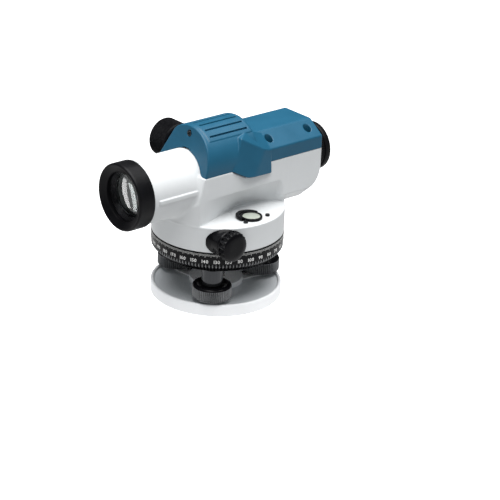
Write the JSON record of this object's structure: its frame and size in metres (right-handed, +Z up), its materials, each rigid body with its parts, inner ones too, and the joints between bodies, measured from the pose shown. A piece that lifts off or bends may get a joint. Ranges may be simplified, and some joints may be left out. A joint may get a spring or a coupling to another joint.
{
  "type": "automatic level",
  "caption": "Automatic level: telescope with pendulum compensator, focusing knob, endless tangent drive and horizontal circle on a three-screw levelling base.",
  "frame": {"origin": "on the vertical turning axis, at the underside of the base plate", "axes": "+Z up; the objective looks along -X and the eyepiece is at +X; the focusing knob is on the +Y side"},
  "size_m": [0.2075, 0.1212, 0.152],
  "materials": {
    "silver_paint": "fine satin silver paint on die cast alloy",
    "white_paint": "satin white paint",
    "blue_plastic": "satin moulded plastic with a fine grain",
    "black_plastic": "satin moulded plastic",
    "black_rubber": "semi-gloss moulded rubber",
    "black_anodised": "black anodised, turned",
    "grey_casting": "dark grey casting",
    "steel": "turned steel",
    "brass": "turned brass",
    "glass": "coated optical glass",
    "vial": "acrylic vial with spirit"
  },
  "bodies": {
    "base": {"base_plate": "white_paint", "thread_insert": "brass", "spring_plate": "steel", "levelling_head": "grey_casting", "spindle": "steel", "spindle_nut": "steel", "spring_screw_1": "steel", "spring_screw_2": "steel", "spring_screw_3": "steel", "foot_bush_1": "black_anodised", "foot_bush_2": "black_anodised", "foot_bush_3": "black_anodised"},
    "foot_screw_1": {"foot_stem_1": "steel", "foot_knob_1": "black_plastic"},
    "foot_screw_2": {"foot_stem_2": "steel", "foot_knob_2": "black_plastic"},
    "foot_screw_3": {"foot_stem_3": "steel", "foot_knob_3": "black_plastic"},
    "circle": {"horizontal_circle": "black_plastic"},
    "drive": {"drive_wheel": "brass"},
    "alidade": {"housing": "silver_paint", "bearing_bush": "brass", "top_cover": "blue_plastic", "cover_screw_1": "black_anodised", "cover_screw_2": "black_anodised", "cover_screw_3": "black_anodised", "cover_screw_4": "black_anodised", "cover_screw_5": "black_anodised", "tangent_boss_near": "black_plastic", "tangent_boss_far": "black_plastic", "objective_rim": "black_rubber", "objective_cell": "black_anodised", "objective_lens": "glass", "focus_guide": "black_anodised", "focus_collar": "black_plastic", "compensator_frame": "grey_casting", "pendulum_pivot": "steel", "roof_prism": "glass", "reticle_ring": "black_anodised", "reticle": "glass", "eyepiece_flange": "black_anodised", "bubble_cup": "black_plastic", "bubble_vial": "vial", "bubble_bezel": "black_plastic", "bubble_guard": "black_plastic", "bubble_screw_1": "black_anodised", "bubble_screw_2": "black_anodised"},
    "tangent": {"tangent_shaft": "steel", "tangent_knob_near": "black_plastic", "tangent_knob_far": "black_plastic"},
    "focus": {"focus_shaft": "steel", "focus_knob": "black_rubber"},
    "focus_carrier": {"focus_carriage": "brass", "focus_lens": "glass"},
    "compensator": {"pendulum": "brass", "pendulum_prism": "glass"},
    "eyepiece_tube": {"eyepiece_cell": "black_anodised", "eye_lens": "glass"},
    "dioptre": {"dioptre_ring": "black_plastic", "eyecup": "black_rubber"}
  },
  "joints": [
    {"name": "foot_screw_1_turn", "type": "hinge", "parent": "base", "child": "foot_screw_1", "pos_m": [-0.02867, -0.02917, 0.018], "axis": [0, 0, 1], "range_deg": [-720, 720]},
    {"name": "foot_screw_2_turn", "type": "hinge", "parent": "base", "child": "foot_screw_2", "pos_m": [0.0396, -0.01024, 0.018], "axis": [0, 0, 1], "range_deg": [-720, 720]},
    {"name": "foot_screw_3_turn", "type": "hinge", "parent": "base", "child": "foot_screw_3", "pos_m": [-0.01093, 0.03941, 0.018], "axis": [0, 0, 1], "range_deg": [-720, 720]},
    {"name": "circle_turn", "type": "hinge", "parent": "base", "child": "circle", "pos_m": [0, 0, 0.048], "axis": [0, 0, 1], "continuous": true},
    {"name": "coarse_turn", "type": "hinge", "parent": "base", "child": "drive", "pos_m": [0, 0, 0.0663], "axis": [0, 0, 1], "continuous": true},
    {"name": "fine_turn", "type": "hinge", "parent": "drive", "child": "alidade", "pos_m": [0, 0, 0.0663], "axis": [0, 0, 1], "range_deg": [-15, 15]},
    {"name": "tangent_turn", "type": "hinge", "parent": "alidade", "child": "tangent", "pos_m": [-0.031, 0, 0.0663], "axis": [0, 1, 0], "range_deg": [-721, 721]},
    {"name": "focus_turn", "type": "hinge", "parent": "alidade", "child": "focus", "pos_m": [-0.0144, 0, 0.1226], "axis": [0, 1, 0], "range_deg": [-190, 190]},
    {"name": "focus_slide", "type": "slide", "parent": "alidade", "child": "focus_carrier", "axis": [1, 0, 0], "range_m": [-0.0067, 0.0067]},
    {"name": "compensator_swing", "type": "hinge", "parent": "alidade", "child": "compensator", "pos_m": [0.046, 0, 0.121], "axis": [0, 1, 0], "range_deg": [-0.5, 0.5]},
    {"name": "eyepiece_slide", "type": "slide", "parent": "alidade", "child": "eyepiece_tube", "axis": [1, 0, 0], "range_m": [-0.0009, 0.0009]},
    {"name": "dioptre_turn", "type": "hinge", "parent": "eyepiece_tube", "child": "dioptre", "pos_m": [0.09, 0, 0.1065], "axis": [1, 0, 0], "range_deg": [-160, 160]}
  ],
  "couplings": [
    {"joint": "tangent_turn", "follows": "fine_turn", "ratio": 48},
    {"joint": "focus_slide", "follows": "focus_turn", "m_per_rad": -0.002},
    {"joint": "eyepiece_slide", "follows": "dioptre_turn", "m_per_rad": 0.00031831}
  ]
}
